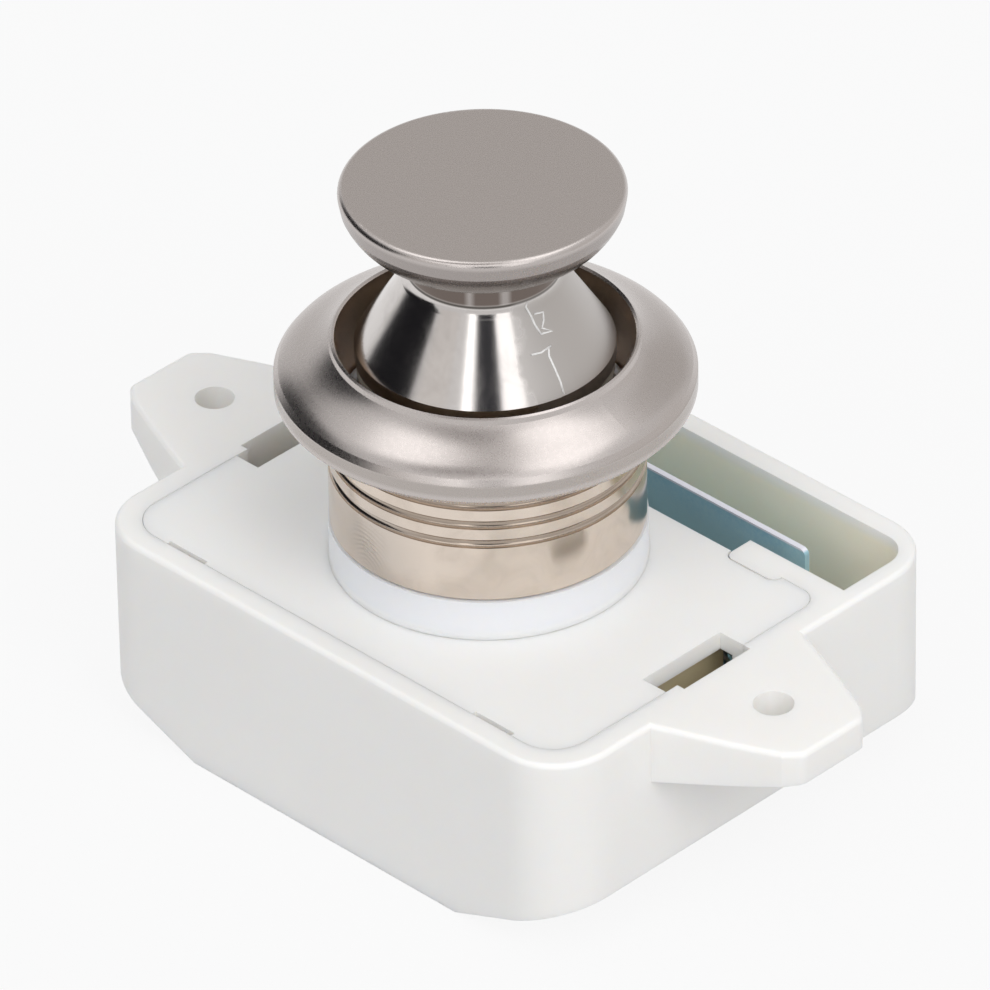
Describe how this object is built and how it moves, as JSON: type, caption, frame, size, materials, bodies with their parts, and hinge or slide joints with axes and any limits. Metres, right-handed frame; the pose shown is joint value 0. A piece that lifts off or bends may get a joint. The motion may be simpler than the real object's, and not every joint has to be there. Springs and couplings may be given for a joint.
{
  "type": "push button cabinet lock",
  "caption": "Push-push cabinet lock with a pull knob in a round rosette, a two-eared plastic case and a sliding steel latch plate in an open keeper pocket.",
  "frame": {"origin": "where the knob's axis meets the mounting plane, which lies on the door's inner face, midway between the two ear holes", "axes": "+Z along the knob's axis out through the door, +X to one ear, +Y to the keeper pocket"},
  "size_m": [0.076, 0.0447, 0.0535],
  "materials": {
    "case": "moulded satin",
    "lid": "moulded satin",
    "guide_sleeve": "natural acetal",
    "collar": "satin nickel over a polished barrel",
    "knob": "satin nickel head over a polished cone",
    "plunger": "moulded acetal",
    "screw": "zinc plated",
    "spring": "drawn spring wire",
    "latch_plate": "blue zinc plated"
  },
  "bodies": {
    "housing": {"case": "case", "lid": "lid", "guide_sleeve": "guide_sleeve", "collar": "collar", "main_spring": "spring", "latch_spring_left": "spring", "latch_spring_right": "spring"},
    "button": {"knob": "knob", "plunger": "plunger", "knob_screw": "screw", "screw_washer": "screw"},
    "latch": {"latch_plate": "latch_plate"},
    "follower": {"follower_wire": "spring"}
  },
  "joints": [
    {"name": "knob_slide", "type": "slide", "parent": "housing", "child": "button", "axis": [0, 0, -1], "range_m": [0, 0.013], "stiffness_N_per_m": 250, "springref_m": -0.012, "deforming": ["main_spring"]},
    {"name": "latch_slide", "type": "slide", "parent": "housing", "child": "latch", "axis": [0, 1, 0], "range_m": [0, 0.003], "stiffness_N_per_m": 400, "springref_m": -0.002, "deforming": ["latch_spring_left", "latch_spring_right"]},
    {"name": "follower_swing", "type": "hinge", "parent": "housing", "child": "follower", "pos_m": [0, -0.0125, -0.0147], "axis": [0, 1, 0], "range_deg": [0, 10], "stiffness_Nm_per_rad": 0.0005}
  ],
  "couplings": [
    {"joint": "latch_slide", "follows": "knob_slide", "ratio": 0.23077}
  ]
}
